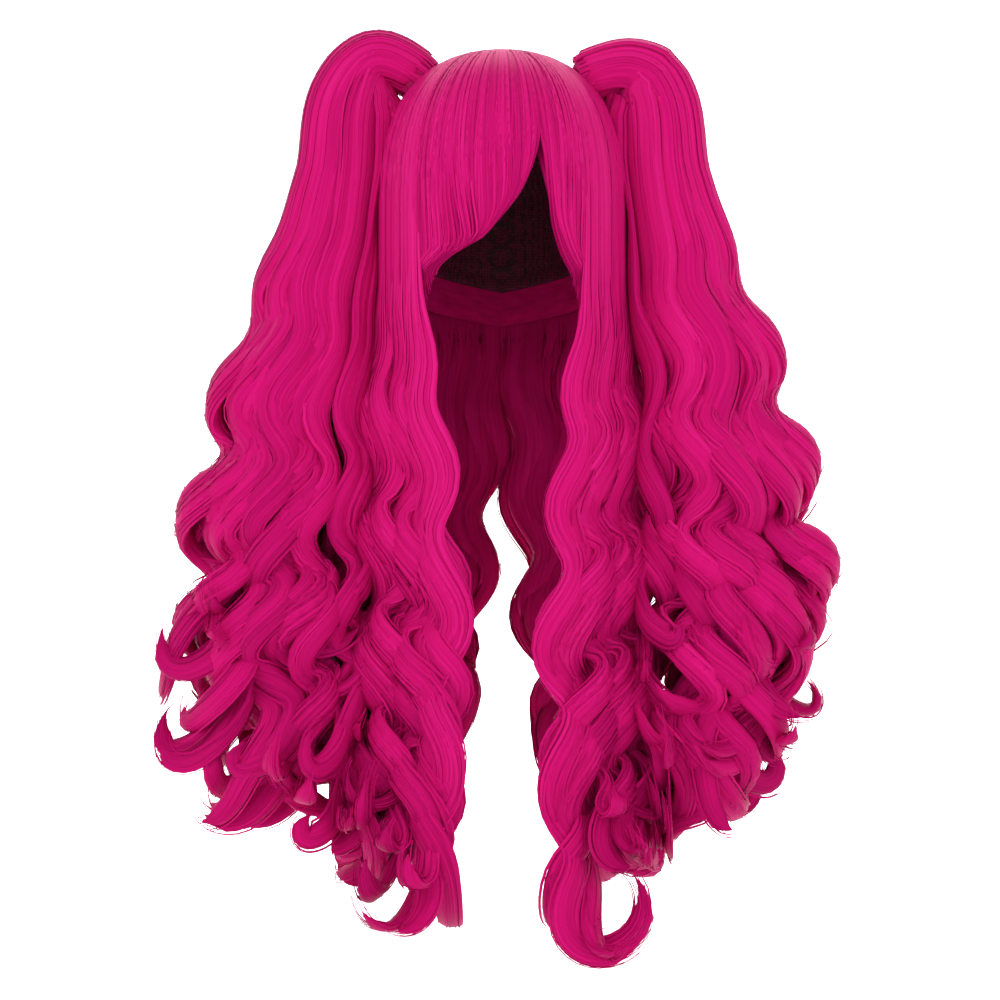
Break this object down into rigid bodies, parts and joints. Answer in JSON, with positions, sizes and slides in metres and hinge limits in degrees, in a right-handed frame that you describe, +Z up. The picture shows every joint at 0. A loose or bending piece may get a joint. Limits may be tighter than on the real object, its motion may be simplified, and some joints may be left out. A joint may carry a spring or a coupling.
{
  "type": "wig",
  "caption": "Long curled wig on an open net cap, with a side-swept fringe, face-framing hair and a full curled pigtail clipped on at each side.",
  "frame": {"origin": "the crown: the highest point of the cap's inner face, where the wig rests on the head", "axes": "+Z up out of the crown, -Y the way the wearer looks, +X towards the wearer's left, the right as seen from the front"},
  "size_m": [0.5067, 0.2257, 0.7124],
  "materials": {
    "hair_fibre": "glossy magenta synthetic fibre",
    "cap_net": "matte dark net",
    "clip_plastic": "satin dark magenta"
  },
  "bodies": {
    "root": {"wig_cap": "cap_net", "fringe_sweep": "hair_fibre", "fringe_side": "hair_fibre", "side_hair_left": "hair_fibre", "side_hair_right": "hair_fibre", "back_hair_left": "hair_fibre", "back_hair_right": "hair_fibre", "pigtail_left": "hair_fibre", "pigtail_right": "hair_fibre", "claw_clip_left": "clip_plastic", "claw_clip_right": "clip_plastic"}
  },
  "joints": []
}
